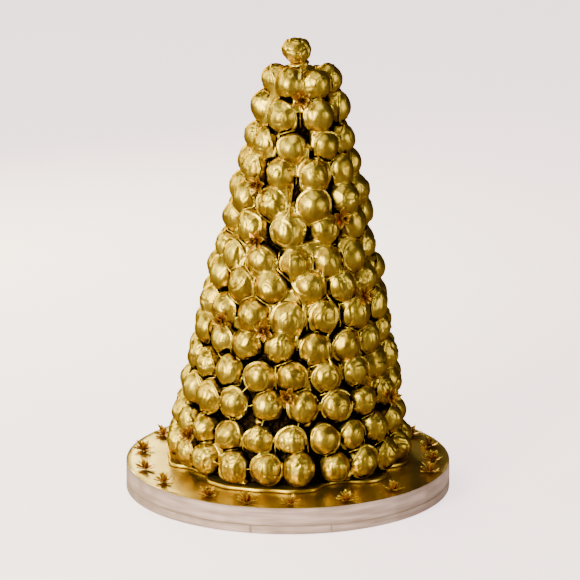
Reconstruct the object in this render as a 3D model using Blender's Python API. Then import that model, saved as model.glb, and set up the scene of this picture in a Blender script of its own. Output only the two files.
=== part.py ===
"""A tower of gilded profiteroles on a round, ribboned cake drum.

Metres, +Z up. The origin is the centre of the drum's underside. The front faces -Y, and a
bearing is measured round the axis from the front, positive towards +X.
"""

import math
import random

import bmesh
import bpy
from mathutils import Matrix, Vector
from mathutils.bvhtree import BVHTree
from mathutils.noise import noise

MM = 0.001
GAP = 0.3 * MM                     # left between pieces that rest on each other

# Cake drum and its two ribbons
DRUM_RADIUS = 177.0 * MM
DRUM_HEIGHT = 30.0 * MM
DRUM_ROUNDING = 1.2 * MM
DRUM_SIDES = 48
RIBBON_THICKNESS = 0.7 * MM
RIBBON_SPANS = {                   # lowest and highest edge
    "ribbon": (10.3 * MM, 29.7 * MM),
    "ribbon_lower": (0.6 * MM, 9.7 * MM),
}

# Pool of set glaze under the tower
POOL_RADIUS = 114.0 * MM
POOL_REACH = 19.0 * MM             # how far a flow runs past that radius
POOL_FLOWS = (                     # bearing and half width of each flow, in degrees
    (-15, 31), (49, 12), (84, 14), (126, 17), (178, 24), (227, 16), (274, 16),
)
POOL_HEIGHT = 3.6 * MM
POOL_SIDES = 60

# Tower
BASE_HEIGHT = DRUM_HEIGHT + GAP + POOL_HEIGHT + GAP
FIRST_TIER = DRUM_HEIGHT + 22.2 * MM
TIER_PITCH = 31.65 * MM
BOTTOM_RADIUS = 118.0 * MM         # to the centres of the buns
TOP_RADIUS = 29.0 * MM
BULGE = 3.0 * MM                   # how far the sides stand proud of a straight cone
LEAN = math.radians(2.1)           # towards +X
SET_BACK = 8.0 * MM                # the tower's foot stands this far behind the drum's centre
TIERS = (                          # count, bearing of one bun in degrees, lift off the even pitch
    (20, 6.0, 0.0 * MM),
    (20, 1.0, 0.0 * MM),
    (18, 6.5, 4.0 * MM),
    (17, 0.5, 4.5 * MM),
    (16, 13.5, 4.5 * MM),
    (14, 21.5, 4.0 * MM),
    (13, 10.5, 4.5 * MM),
    (13, 27.0, 0.5 * MM),
    (10, 27.0, 3.5 * MM),
    (9, 14.5, -1.5 * MM),
    (9, 16.5, -1.0 * MM),
    (8, 35.0, -4.5 * MM),
    (6, 28.0, -2.5 * MM),
    (6, 32.0, 0.0 * MM),
)
TOP_TIER_DIP = 14.0 * MM           # how far the top tier sinks at its back
BUN_FILL = 0.487                   # bun radius as a share of the spacing in its tier
BUN_RADII = (16.2 * MM, 18.3 * MM)  # smallest and largest mean radius of a tier's buns
BUN_SIDES = 7
BUN_RINGS = 4
FACET_ALLOWANCE = 1.03             # so that a faceted bun has the true bun's mean radius
SEED = 14

# Core that the buns are set on
CORE_INSET = 8.0 * MM              # inside the centres of the buns
CORE_SIDES = 16
CORE_LEVELS = 2
CROWN_HEIGHT = DRUM_HEIGHT + 430.5 * MM
CROWN_RADIUS = 18.5 * MM

# The single bun on top
TOP_BUN_RADIUS = 16.6 * MM
TOP_BUN_SQUASH = 0.88
TOP_BUN_OFFSET = -7.0 * MM         # from the tower's leaning axis

# Small gilt flowers, on the drum and in the gaps between the buns
PETALS = 6                         # six spread low, and six more that stand up between them
SPREAD_REACH = 13.0 * MM
SPREAD_RISE = 2.6 * MM
NOTCH_REACH = 5.0 * MM
CUP_RADIUS = 7.2 * MM
CUP_HEIGHT = 13.2 * MM
CUP_NOTCH_RADIUS = 4.6 * MM
CUP_NOTCH_HEIGHT = 6.6 * MM
CUP_FLOOR = 3.2 * MM
DRUM_FLOWER_RADIUS = 161.5 * MM
DRUM_FLOWER_BEARINGS = (
    -121, -100, -76, -58, -33, -16, 1, 23, 46, 73, 88, 106, 122, 141, 160, 180, 199, 219,
)
TOWER_FLOWERS = (                  # tier below the gap, counted from 1 with a half, and bearing
    (13.5, 0), (10.5, -45), (9.4, 38), (8.7, -33), (6.65, 51), (5.7, -19), (5.8, -49),
    (3.5, -2), (2.9, 62), (1.7, -58), (12.5, 135), (11.5, 194), (9.5, -130), (8.5, 152),
    (6.5, 189), (4.5, -135), (4.5, 116), (2.5, 155),
)
FLOWER_STEP = 0.25 * MM            # how finely a flower is slid in to its seat

GOLD = (0.66, 0.50, 0.14, 1.0)
FOIL = (0.74, 0.58, 0.20, 1.0)
COPPER_GOLD = (0.62, 0.36, 0.08, 1.0)
SATIN = (0.86, 0.82, 0.81, 1.0)


def clear_scene():
    for obj in list(bpy.data.objects):
        bpy.data.objects.remove(obj, do_unlink=True)


def make_material(name, colour, roughness, metallic):
    material = bpy.data.materials.new(name)
    material.use_nodes = True
    shader = material.node_tree.nodes["Principled BSDF"]
    shader.inputs["Base Color"].default_value = colour
    shader.inputs["Roughness"].default_value = roughness
    shader.inputs["Metallic"].default_value = metallic
    return material


def add_object(name, mesh_source, material, collection=None):
    """Makes an object from a bmesh, which is freed."""
    mesh = bpy.data.meshes.new(name)
    mesh_source.to_mesh(mesh)
    mesh_source.free()
    mesh.materials.append(material)
    obj = bpy.data.objects.new(name, mesh)
    (collection or bpy.context.scene.collection).objects.link(obj)
    return obj


def direction(bearing):
    """Unit vector in the plane at a bearing in radians."""
    return Vector((math.sin(bearing), -math.cos(bearing), 0))


def ring(mesh, radii, heights):
    """Vertices at the given radii and heights, evenly spaced round Z."""
    count = len(radii)
    made = []
    for k in range(count):
        spot = direction(math.tau * k / count) * radii[k]
        made.append(mesh.verts.new((spot.x, spot.y, heights[k])))
    return made


def stitch(mesh, lower, upper):
    """Quads between two rings of equal count."""
    count = len(lower)
    for k in range(count):
        mesh.faces.new((lower[k], lower[(k + 1) % count], upper[(k + 1) % count], upper[k]))


def fan(mesh, loop, centre, upwards):
    """Triangles from a ring to one point, facing up or down."""
    tip = mesh.verts.new(centre)
    count = len(loop)
    for k in range(count):
        edge = (loop[k], loop[(k + 1) % count])
        mesh.faces.new((*(edge if upwards else edge[::-1]), tip))


def tier_radius(height):
    """Distance from the tower's axis to the centres of buns at a height."""
    top = FIRST_TIER + TIER_PITCH * (len(TIERS) - 1)
    share = (height - FIRST_TIER) / (top - FIRST_TIER)
    straight = BOTTOM_RADIUS + (TOP_RADIUS - BOTTOM_RADIUS) * share
    return straight + BULGE * math.sin(math.pi * min(max(share, 0), 1))


def axis_at(height):
    """The point of the tower's leaning axis at a height."""
    return Vector((math.tan(LEAN) * (height - DRUM_HEIGHT), SET_BACK, height))


def bun_places():
    """(centre, radius, outward direction) of each bun in the tiers, bottom to top."""
    draw = random.Random(SEED)
    places = []
    for number, (count, bearing, lift) in enumerate(TIERS):
        height = FIRST_TIER + TIER_PITCH * number + lift
        reach = tier_radius(height)
        spacing = 2 * reach * math.sin(math.pi / count)
        usual = min(max(spacing * BUN_FILL, BUN_RADII[0]), BUN_RADII[1])
        for k in range(count):
            turn = math.radians(bearing + 360 * k / count + draw.uniform(-1.2, 1.2))
            radius = usual * draw.uniform(0.965, 1.035)
            rise = 0 if number == 0 else draw.uniform(-1.6, 1.6) * MM
            outward = direction(turn)
            centre = axis_at(height + rise) + outward * (reach + draw.uniform(-1.5, 1.5) * MM)
            if number == 0:
                centre.z = BASE_HEIGHT + radius * FACET_ALLOWANCE
            if number == len(TIERS) - 1:
                centre.z -= TOP_TIER_DIP * max(0, outward.y)
            places.append((centre, radius, outward))
    return places


def make_drum(foil):
    mesh = bmesh.new()
    bmesh.ops.create_cone(mesh, cap_ends=True, segments=DRUM_SIDES, radius1=DRUM_RADIUS,
                          radius2=DRUM_RADIUS, depth=DRUM_HEIGHT)
    bmesh.ops.translate(mesh, verts=mesh.verts, vec=(0, 0, DRUM_HEIGHT / 2))
    drum = add_object("drum", mesh, foil)
    rounding = drum.modifiers.new("rounded rims", "BEVEL")
    rounding.width = DRUM_ROUNDING
    rounding.segments = 1
    rounding.limit_method = "ANGLE"
    rounding.angle_limit = math.radians(60)


def make_ribbon(name, low, high, satin):
    inner = [DRUM_RADIUS + GAP] * DRUM_SIDES
    outer = [DRUM_RADIUS + GAP + RIBBON_THICKNESS] * DRUM_SIDES
    mesh = bmesh.new()
    loops = [
        ring(mesh, radii, [height] * DRUM_SIDES)
        for radii, height in ((inner, low), (outer, low), (outer, high), (inner, high))
    ]
    for k in range(4):
        stitch(mesh, loops[k], loops[(k + 1) % 4])
    add_object(name, mesh, satin)


def pool_edge(bearing):
    """Radius of the glaze pool's edge at a bearing in radians."""
    reach = 0.0
    for middle, half_width in POOL_FLOWS:
        away = math.degrees(bearing) - middle
        away = abs((away + 180) % 360 - 180)
        reach = max(reach, 1 / (1 + math.exp((away - half_width) / 2.0)))
    ripple = 1.2 * MM * math.sin(9 * bearing) + 0.8 * MM * math.sin(23 * bearing + 1)
    return POOL_RADIUS + POOL_REACH * reach + ripple


def make_pool(glaze):
    bearings = [math.tau * k / POOL_SIDES for k in range(POOL_SIDES)]
    low = DRUM_HEIGHT + GAP
    profile = ((-0.6 * MM, 0.0), (0.0, 0.35), (-1.0 * MM, 0.85), (-3.0 * MM, 1.0))
    mesh = bmesh.new()
    loops = [
        ring(mesh, [pool_edge(b) + inset for b in bearings], [low + POOL_HEIGHT * share] * POOL_SIDES)
        for inset, share in profile
    ]
    for lower, upper in zip(loops, loops[1:]):
        stitch(mesh, lower, upper)
    fan(mesh, loops[0], (0, 0, low), upwards=False)
    fan(mesh, loops[-1], (0, 0, low + POOL_HEIGHT), upwards=True)
    bmesh.ops.translate(mesh, verts=mesh.verts, vec=(0, SET_BACK, 0))
    add_object("glaze_pool", mesh, glaze)


def make_core(gold):
    """Leaning cone, flat at the foot, that the buns are set on."""
    top = FIRST_TIER + TIER_PITCH * (len(TIERS) - 1)
    heights = [BASE_HEIGHT + (top - BASE_HEIGHT) * k / CORE_LEVELS for k in range(CORE_LEVELS + 1)]
    mesh = bmesh.new()
    loops = []
    for height in heights:
        loop = ring(mesh, [tier_radius(height) - CORE_INSET] * CORE_SIDES, [height] * CORE_SIDES)
        shift = axis_at(height) * Vector((1, 1, 0))
        bmesh.ops.translate(mesh, verts=loop, vec=shift)
        loops.append(loop)
    for lower, upper in zip(loops, loops[1:]):
        stitch(mesh, lower, upper)
    fan(mesh, loops[0], axis_at(heights[0]), upwards=False)
    fan(mesh, loops[-1], axis_at(heights[-1]), upwards=True)
    return add_object("profiterole_tower", mesh, gold)


def bun_mesh(radius, centre, outward, turn):
    """A faceted bun whose pole points outwards."""
    mesh = bmesh.new()
    bmesh.ops.create_uvsphere(mesh, u_segments=BUN_SIDES, v_segments=BUN_RINGS,
                              radius=radius * FACET_ALLOWANCE)
    pole = outward.to_track_quat("Z", "Y").to_matrix().to_4x4()
    place = Matrix.Translation(centre) @ pole @ Matrix.Rotation(turn, 4, "Z")
    bmesh.ops.transform(mesh, matrix=place, verts=mesh.verts)
    return mesh


def make_tower(gold):
    """The core with every bun of the tiers fused on."""
    tower = make_core(gold)
    buns = bpy.data.collections.new("buns to fuse")
    bpy.context.scene.collection.children.link(buns)
    draw = random.Random(SEED + 1)
    for centre, radius, outward in bun_places():
        mesh = bun_mesh(radius, centre, outward, draw.uniform(0, math.tau))
        add_object("bun", mesh, gold, buns)
    crown = bun_mesh(CROWN_RADIUS, axis_at(CROWN_HEIGHT), Vector((0, 0, 1)), 0)
    add_object("bun", crown, gold, buns)
    union = tower.modifiers.new("fused buns", "BOOLEAN")
    union.operation = "UNION"
    union.operand_type = "COLLECTION"
    union.collection = buns
    union.solver = "MANIFOLD"
    bpy.context.view_layer.objects.active = tower
    bpy.ops.object.modifier_apply(modifier=union.name)
    for obj in list(buns.objects):
        bpy.data.objects.remove(obj, do_unlink=True)
    bpy.data.collections.remove(buns)
    return tower


def make_top_bun(gold):
    """The knobbly bun that stands alone on the crown."""
    mesh = bmesh.new()
    bmesh.ops.create_icosphere(mesh, subdivisions=3, radius=TOP_BUN_RADIUS)
    for vertex in mesh.verts:
        vertex.co *= 1 + 0.07 * noise(vertex.co / (9 * MM))
        vertex.co.z *= TOP_BUN_SQUASH
    lowest = min(vertex.co.z for vertex in mesh.verts)
    foot = axis_at(CROWN_HEIGHT + CROWN_RADIUS * FACET_ALLOWANCE)
    foot.x += TOP_BUN_OFFSET
    bmesh.ops.translate(mesh, verts=mesh.verts, vec=foot - Vector((0, 0, lowest)))
    return add_object("top_profiterole", mesh, gold)


def flower_mesh():
    """A small lily, its axis along Z: a star of low petals round a cup of upright ones."""
    mesh = bmesh.new()
    star = ring(mesh, [SPREAD_REACH, NOTCH_REACH] * PETALS, [SPREAD_RISE, 0.0] * PETALS)
    cup = ring(mesh, [CUP_NOTCH_RADIUS, CUP_RADIUS] * PETALS, [CUP_NOTCH_HEIGHT, CUP_HEIGHT] * PETALS)
    stitch(mesh, star, cup)
    fan(mesh, star, (0, 0, 0), upwards=False)
    fan(mesh, cup, (0, 0, CUP_FLOOR), upwards=True)
    return mesh


def place_flower(name, matrix, material):
    mesh = flower_mesh()
    bmesh.ops.transform(mesh, matrix=matrix, verts=mesh.verts)
    return add_object(name, mesh, material)


def make_drum_flowers(material):
    draw = random.Random(SEED + 2)
    for number, bearing in enumerate(DRUM_FLOWER_BEARINGS, 1):
        spot = direction(math.radians(bearing)) * (DRUM_FLOWER_RADIUS + draw.uniform(-2.5, 2.5) * MM)
        spot.z = DRUM_HEIGHT + GAP
        spin = Matrix.Rotation(draw.uniform(0, math.tau), 4, "Z")
        place_flower(f"drum_flower_{number:02d}", Matrix.Translation(spot) @ spin, material)


def tree_of(obj):
    mesh = bmesh.new()
    mesh.from_mesh(obj.data)
    tree = BVHTree.FromBMesh(mesh)
    mesh.free()
    return tree


def seated(matrix, outward, tower_tree):
    """The flower's place, slid in along its axis until it all but touches the tower."""
    mesh = flower_mesh()
    bmesh.ops.transform(mesh, matrix=matrix, verts=mesh.verts)
    for _ in range(200):
        bmesh.ops.translate(mesh, verts=mesh.verts, vec=-outward * FLOWER_STEP)
        if BVHTree.FromBMesh(mesh).overlap(tower_tree):
            break
        matrix = Matrix.Translation(-outward * FLOWER_STEP) @ matrix
    mesh.free()
    return Matrix.Translation(outward * GAP) @ matrix


def make_tower_flowers(material, tower):
    draw = random.Random(SEED + 3)
    tower_tree = tree_of(tower)
    slope = math.atan((BOTTOM_RADIUS - TOP_RADIUS) / (TIER_PITCH * (len(TIERS) - 1)))
    for number, (tier, bearing) in enumerate(TOWER_FLOWERS, 1):
        height = FIRST_TIER + TIER_PITCH * (tier - 1)
        turn = math.radians(bearing)
        outward = direction(turn) * math.cos(slope) + Vector((0, 0, math.sin(slope)))
        start = axis_at(height) + direction(turn) * tier_radius(height) + outward * 30 * MM
        pole = outward.to_track_quat("Z", "Y").to_matrix().to_4x4()
        matrix = Matrix.Translation(start) @ pole @ Matrix.Rotation(draw.uniform(0, math.tau), 4, "Z")
        place_flower(f"tower_flower_{number:02d}", seated(matrix, outward, tower_tree), material)


def main():
    clear_scene()
    gold = make_material("gilt glaze", GOLD, 0.3, 1.0)
    foil = make_material("gold foil", FOIL, 0.35, 1.0)
    copper_gold = make_material("copper gilt", COPPER_GOLD, 0.35, 1.0)
    satin = make_material("white satin", SATIN, 0.55, 0.0)
    make_drum(foil)
    for name, (low, high) in RIBBON_SPANS.items():
        make_ribbon(name, low, high, satin)
    make_pool(gold)
    tower = make_tower(gold)
    make_top_bun(gold)
    make_drum_flowers(copper_gold)
    make_tower_flowers(copper_gold, tower)


main()
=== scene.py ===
"""Dresses the profiterole tower: glazed choux buns in gold on a foil-covered, ribboned drum.

Metres, +Z up. The front faces -Y, and a bearing is measured round the axis from the front,
positive towards +X.
"""

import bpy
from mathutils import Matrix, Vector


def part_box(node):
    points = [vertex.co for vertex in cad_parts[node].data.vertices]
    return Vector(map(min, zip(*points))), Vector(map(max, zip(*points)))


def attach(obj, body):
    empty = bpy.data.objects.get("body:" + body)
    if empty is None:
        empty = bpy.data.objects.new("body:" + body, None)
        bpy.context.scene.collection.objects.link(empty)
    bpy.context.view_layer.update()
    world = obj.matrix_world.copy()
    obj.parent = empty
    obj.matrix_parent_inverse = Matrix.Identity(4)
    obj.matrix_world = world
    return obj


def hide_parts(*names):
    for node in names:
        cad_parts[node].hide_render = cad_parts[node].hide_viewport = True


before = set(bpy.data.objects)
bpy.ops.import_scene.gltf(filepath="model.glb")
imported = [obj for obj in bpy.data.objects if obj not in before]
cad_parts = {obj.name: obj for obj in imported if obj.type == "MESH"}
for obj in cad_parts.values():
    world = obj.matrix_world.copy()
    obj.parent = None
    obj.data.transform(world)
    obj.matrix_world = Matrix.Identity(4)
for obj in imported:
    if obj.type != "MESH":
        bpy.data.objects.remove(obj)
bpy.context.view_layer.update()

from concurrent.futures import ThreadPoolExecutor
import math
import random

import bmesh
import bpy
import numpy as np
from mathutils import Matrix, Vector
from mathutils.noise import noise as crust

MM = 0.001
BODY = "root"

# Drum, ribbons and pool of glaze, as packed
DRUM_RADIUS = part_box("drum")[1].x
DRUM_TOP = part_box("drum")[1].z
DRUM_ROUNDING = 1.2 * MM
RIBBON_INNER = DRUM_RADIUS + 0.3 * MM
POOL_RADIUS = 114.0 * MM
POOL_REACH = 19.0 * MM             # how far a flow runs past that radius
POOL_FLOWS = (                     # bearing and half width of each flow, in degrees
    (-15, 31), (49, 12), (84, 14), (126, 17), (178, 24), (227, 16), (274, 16),
)
POOL_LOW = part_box("glaze_pool")[0].z
POOL_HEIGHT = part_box("glaze_pool")[1].z - POOL_LOW

# Tiers of buns, set where the solid has them
FIRST_TIER = DRUM_TOP + 22.2 * MM
TIER_PITCH = 31.65 * MM
BOTTOM_RADIUS = 118.0 * MM
TOP_RADIUS = 29.0 * MM
BULGE = 3.0 * MM
LEAN = math.radians(2.1)
SET_BACK = 8.0 * MM
FOOT_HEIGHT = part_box("profiterole_tower")[0].z
TIERS = (                          # count, bearing of one bun in degrees, lift off the even pitch
    (20, 6.0, 0.0 * MM),
    (20, 1.0, 0.0 * MM),
    (18, 6.5, 4.0 * MM),
    (17, 0.5, 4.5 * MM),
    (16, 13.5, 4.5 * MM),
    (14, 21.5, 4.0 * MM),
    (13, 10.5, 4.5 * MM),
    (13, 27.0, 0.5 * MM),
    (10, 27.0, 3.5 * MM),
    (9, 14.5, -1.5 * MM),
    (9, 16.5, -1.0 * MM),
    (8, 35.0, -4.5 * MM),
    (6, 28.0, -2.5 * MM),
    (6, 32.0, 0.0 * MM),
)
TOP_TIER_DIP = 14.0 * MM           # how far the top tier sinks at its back
TOP_TIER = FIRST_TIER + TIER_PITCH * (len(TIERS) - 1)
SLOPE = math.atan((BOTTOM_RADIUS - TOP_RADIUS) / (TOP_TIER - FIRST_TIER))
BUN_FILL = 0.487                   # bun radius as a share of the spacing in its tier
BUN_RADII = (16.2 * MM, 18.3 * MM)
FACET_ALLOWANCE = 1.03
CROWN_HEIGHT = DRUM_TOP + 430.5 * MM
CROWN_RADIUS = 18.5 * MM
CROWN_FULLNESS = 1.03              # it stands full under the top bun
SEAT_REACH = 9.0 * MM              # radius of the ring of glaze that the top bun sits in
SEAT_THICKNESS = 2.7 * MM
SEAT_BALLS = 32
CORE_INSET_AT_FOOT = 8.0 * MM      # inside the centres of the buns
CORE_INSET_ABOVE = 5.5 * MM
FILM_RISE = 9.0 * MM               # how far a film over the gaps stands above the core
FILM_PATCH = 17.0 * MM             # size of a patch of film
FILM_LIKELY = (-0.45, 0.10)        # at the foot and above, set against random values of -1 to 1
CRUMB_SIZE = 4.5 * MM
CRUMB_HEIGHT = 1.6 * MM
PLACING_SEED = 14

# The skin of glaze over the buns
SKIN_CELL = 1.3 * MM
SKIN_PIECES = 6
BLEND_AT_FOOT = 0.9 * MM           # how softly neighbouring buns run together
BLEND_ABOVE = 1.9 * MM
COLLAR_THICKNESS = 1.0 * MM        # radius of the rim of set glaze round a bun
LOOKS_SEED = 7
RIM_BLEND = 0.4 * MM
RUN_BLEND = 0.9 * MM
GLAZE_RUNS = (                     # radius, then bearing in degrees and mm above the drum at each bend
    (1.7 * MM, ((-5, 259), (-4, 237), (-2, 223), (4, 210), (7, 194), (5, 176), (2, 162), (3, 148))),
    (1.6 * MM, ((21, 244), (21, 221), (26, 205), (29, 188), (25, 173), (22, 158), (23, 141), (27, 123))),
    (2.2 * MM, ((10, 146), (10, 135), (10, 123), (11, 110))),
    (1.2 * MM, ((-11, 264), (-1, 265), (9, 266))),
    (1.3 * MM, ((-7, 330), (-8, 320), (-8, 302), (-14, 294))),
    (1.6 * MM, ((-5, 452), (-4, 446), (-3, 438))),
    (1.2 * MM, ((-30, 384), (-25, 365), (-17, 358))),
)
RUN_STEP = 0.9 * MM
RUN_PROUD = 14 * MM                # about how far runs lie outside the centres of the buns

# Threads of glaze drawn out between the lower buns
THREAD_TOP = DRUM_TOP + 130.0 * MM
THREAD_SHARE = 0.36                # of the neighbouring pairs
THREAD_REACH = 1.2                 # longest span, in the two radii
THREAD_RADII = (1.3 * MM, 0.6 * MM)
THREAD_SIDES = 8
THREAD_RINGS = 9

# Webs of glaze that stand in the valleys between neighbouring buns
WEB_REACH = 1.06                   # longest span, in the two radii
WEB_SHARE = (0.45, 0.95)           # of the neighbouring pairs, at the foot and above
WEB_ARC = math.radians(80)         # to either side of straight out
WEB_RISE = (0.45 * MM, 1.15 * MM)  # least and most that an edge stands off the buns
WEB_BEAD = (0.55 * MM, 0.95 * MM)  # half thickness of an edge, likewise
WEB_DEPTH = 4.5 * MM
WEB_SIDES = 8
WEB_RINGS = 17

OPEN_REACHES = (3.0 * MM, 8.0 * MM)  # how far in front of the glaze its crevices are felt


# ---------------------------------------------------------------- places of the buns

def direction(bearing):
    """Unit vector in the plane at a bearing in radians."""
    return Vector((math.sin(bearing), -math.cos(bearing), 0))


def tier_radius(height):
    """Distance from the tower's axis to the centres of buns at a height."""
    share = (height - FIRST_TIER) / (TOP_TIER - FIRST_TIER)
    straight = BOTTOM_RADIUS + (TOP_RADIUS - BOTTOM_RADIUS) * share
    return straight + BULGE * np.sin(np.pi * np.clip(share, 0, 1))


def axis_at(height):
    """The point of the tower's leaning axis at a height."""
    return Vector((math.tan(LEAN) * (height - DRUM_TOP), SET_BACK, height))


def bun_places():
    """(centre, radius, outward direction) of each bun in the tiers, bottom to top."""
    draw = random.Random(PLACING_SEED)
    places = []
    for number, (count, bearing, lift) in enumerate(TIERS):
        height = FIRST_TIER + TIER_PITCH * number + lift
        reach = float(tier_radius(height))
        spacing = 2 * reach * math.sin(math.pi / count)
        usual = min(max(spacing * BUN_FILL, BUN_RADII[0]), BUN_RADII[1])
        for k in range(count):
            turn = math.radians(bearing + 360 * k / count + draw.uniform(-1.2, 1.2))
            radius = usual * draw.uniform(0.965, 1.035)
            rise = 0 if number == 0 else draw.uniform(-1.6, 1.6) * MM
            outward = direction(turn)
            centre = axis_at(height + rise) + outward * (reach + draw.uniform(-1.5, 1.5) * MM)
            if number == 0:
                centre.z = FOOT_HEIGHT + radius * FACET_ALLOWANCE
            if number == len(TIERS) - 1:
                centre.z -= TOP_TIER_DIP * max(0, outward.y)
            places.append((centre, radius, outward))
    places.append((axis_at(CROWN_HEIGHT), CROWN_RADIUS, Vector((0, 0, 1))))
    return places


# ---------------------------------------------------------------- smooth random values

LATTICE = 32
LATTICE_VALUES = np.random.RandomState(3).uniform(-1, 1, (LATTICE ** 3, 4)).astype(np.float32)


def noise(points):
    """Four smooth random values, each between about -1 and 1, at every point."""
    base = np.floor(points)
    part = (points - base).astype(np.float32)
    part = part * part * part * (part * (part * 6 - 15) + 10)
    low = base.astype(np.int32) % LATTICE
    high = (low + 1) % LATTICE
    across = (low[:, 0] * LATTICE, high[:, 0] * LATTICE)
    along = (low[:, 1], high[:, 1])
    up = (low[:, 2], high[:, 2])

    def layer(level):
        rows = []
        for row in along:
            ends = [LATTICE_VALUES[(column + row) * LATTICE + up[level]] for column in across]
            rows.append(ends[0] + (ends[1] - ends[0]) * part[:, :1])
        return rows[0] + (rows[1] - rows[0]) * part[:, 1:2]

    bottom = layer(0)
    return bottom + (layer(1) - bottom) * part[:, 2:3]


# ---------------------------------------------------------------- the glazed buns as distances

class Buns:
    """What each bun under the glaze is like, one row to a bun."""

    def __init__(self, places):
        draw = np.random.RandomState(LOOKS_SEED)
        count = len(places)
        self.centre = np.array([place[0] for place in places], np.float32)
        self.radius = np.array([place[1] for place in places], np.float32)
        self.radius[-1] *= CROWN_FULLNESS
        outward = np.array([place[2] for place in places])
        side = np.cross((0, 0, 1), outward)
        side[-1] = (1, 0, 0)
        side /= np.linalg.norm(side, axis=1, keepdims=True)
        up = np.cross(outward, side)
        self.frame = np.stack([side, up, outward], 1).astype(np.float32)
        self.seed = draw.uniform(0, LATTICE, (count, 3)).astype(np.float32)
        spans = np.array(((0.93, 1.0), (1.0, 1.10), (0.95, 1.05)), np.float32)  # side, up, out
        self.stretch = draw.uniform(spans[:, 0], spans[:, 1], (count, 3)).astype(np.float32)
        self.stretch[-1] = 1
        kind = draw.choice(4, count, p=(0.20, 0.38, 0.24, 0.18))
        self.fold = np.where(kind == 1, draw.uniform(0.8, 1.4, count), draw.uniform(0.15, 0.55, count)) * MM
        self.curl = np.where(kind == 2, draw.uniform(0.7, 1.1, count), 0) * MM
        self.crumple = np.where(kind == 3, draw.uniform(0.5, 0.9, count), 0) * MM
        self.peak = np.where(draw.uniform(0, 1, count) < 0.6, draw.uniform(0.05, 0.15, count), 0)
        self.peak[-1] = 0
        peak_way = [draw.normal(0, 0.3, count), np.ones(count), draw.normal(0.25, 0.2, count)]
        peak_way = np.column_stack(peak_way)
        self.peak_way = peak_way / np.linalg.norm(peak_way, axis=1, keepdims=True)
        pole = np.column_stack([draw.normal(0, 0.25, (count, 2)), np.ones(count)])
        self.curl_pole = pole / np.linalg.norm(pole, axis=1, keepdims=True)
        self.curl_angle = draw.uniform(0.38, 0.75, count)
        has_collar = draw.uniform(0, 1, count) < 0.85
        has_collar[-1] = False
        self.collar = np.where(has_collar, draw.uniform(0.8, 1.15, count), 0) * COLLAR_THICKNESS
        self.collar_height = draw.uniform(0.12, 0.34, count) * self.radius
        reach = np.sqrt(self.radius ** 2 - self.collar_height ** 2)
        self.collar_reach = reach * draw.uniform(1.01, 1.06, count)
        self.tone = draw.uniform(0, 1, count)

    def local(self, points, index):
        """Points seen from their bun: to its side, up its face and outwards."""
        return np.einsum("nij,nj->ni", self.frame[index], points - self.centre[index])


def bell(value, width):
    """1 at value 0, falling away smoothly either side."""
    return np.exp(-((value / width) ** 2))


def bun_distance(points, index, detailed):
    """Distance to one bun's glazed surface, with its lumps, folds and curls."""
    local = buns.local(points, index) / buns.stretch[index]
    away = np.linalg.norm(local, axis=1)
    facing = local / away[:, None]
    seed = buns.seed[index]
    lumps = noise(facing * 1.25 + seed)
    from_peak = 1 - (facing * buns.peak_way[index]).sum(1)
    swell = 0.055 * lumps[:, 0] + buns.peak[index] * np.exp(-from_peak / 0.09) - 0.02
    distance = away - buns.radius[index] * (1 + swell)
    if not detailed:
        return distance
    warped = facing + 0.22 * lumps[:, 1:]
    upright = noise(warped * (2.7, 0.8, 1.3) + seed + 5)
    slanted = noise(warped * (1.9, 1.7, 1.5) + seed + 11)
    shown = np.clip(0.55 + 1.6 * slanted[:, 2], 0, 1)
    creases = 0.9 * bell(upright[:, 0], 0.11) * shown + 0.45 * bell(slanted[:, 0], 0.08)
    distance += buns.fold[index] * (creases - 0.45 * bell(upright[:, 0] - 0.3, 0.2))
    crumpled = noise(warped * (2.4, 1.8, 2.1) + seed + 17)
    furrows = 0.9 * bell(crumpled[:, 0], 0.13) + 0.6 * bell(crumpled[:, 1], 0.10)
    distance += buns.crumple[index] * (furrows - 0.7 * np.abs(crumpled[:, 2]))
    turned = np.arccos(np.clip((facing * buns.curl_pole[index]).sum(1), -1, 1))
    beyond = turned + 0.24 * lumps[:, 2] - buns.curl_angle[index]
    arc = np.clip(0.30 + 2.2 * lumps[:, 3], 0, 1)
    curls = 0.95 * bell(beyond, 0.075) - 0.55 * bell(beyond - 0.15, 0.08)
    curls += 0.35 * bell(beyond + buns.curl_angle[index] * 0.5 + 0.1 * slanted[:, 3], 0.07)
    distance += buns.curl[index] * arc * curls
    brushed = noise(warped * (5.6, 2.4, 4.0) + seed + 23)
    return distance - 0.35 * MM * slanted[:, 1] - 0.30 * MM * brushed[:, 0]


def collar_path(angle, index):
    """(reach, height, thickness) of a bun's collar at an angle round the bun."""
    round_bun = np.column_stack([np.cos(angle), np.sin(angle), np.zeros(len(angle))])
    wander = noise(round_bun * 1.3 + buns.seed[index])
    reach = buns.collar_reach[index] + 1.3 * MM * wander[:, 0]
    height = buns.collar_height[index] + 3.2 * MM * wander[:, 1]
    return reach, height, buns.collar[index] * np.clip(0.95 + 0.7 * wander[:, 2], 0.55, 1.25)


def collar_distance(points, index):
    """Distance to the rim of set glaze that stands round a bun."""
    local = buns.local(points, index)
    reach, height, thickness = collar_path(np.arctan2(local[:, 1], local[:, 0]), index)
    across = np.hypot(local[:, 0], local[:, 1]) - reach
    distance = np.hypot(across, local[:, 2] - height) - thickness
    return np.where(buns.collar[index] > 0, distance, 1.0)


def off_axis(points):
    """Level offsets of points from the leaning axis, and their lengths."""
    lean = math.tan(LEAN) * (points[:, 2] - DRUM_TOP)
    flat = np.column_stack([points[:, 0] - lean, points[:, 1] - SET_BACK])
    return flat, np.hypot(flat[:, 0], flat[:, 1])


def depth_of(points):
    """How far points stand outside the cone through the centres of the buns."""
    return (off_axis(points)[1] - tier_radius(points[:, 2])) * math.cos(SLOPE)


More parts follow.
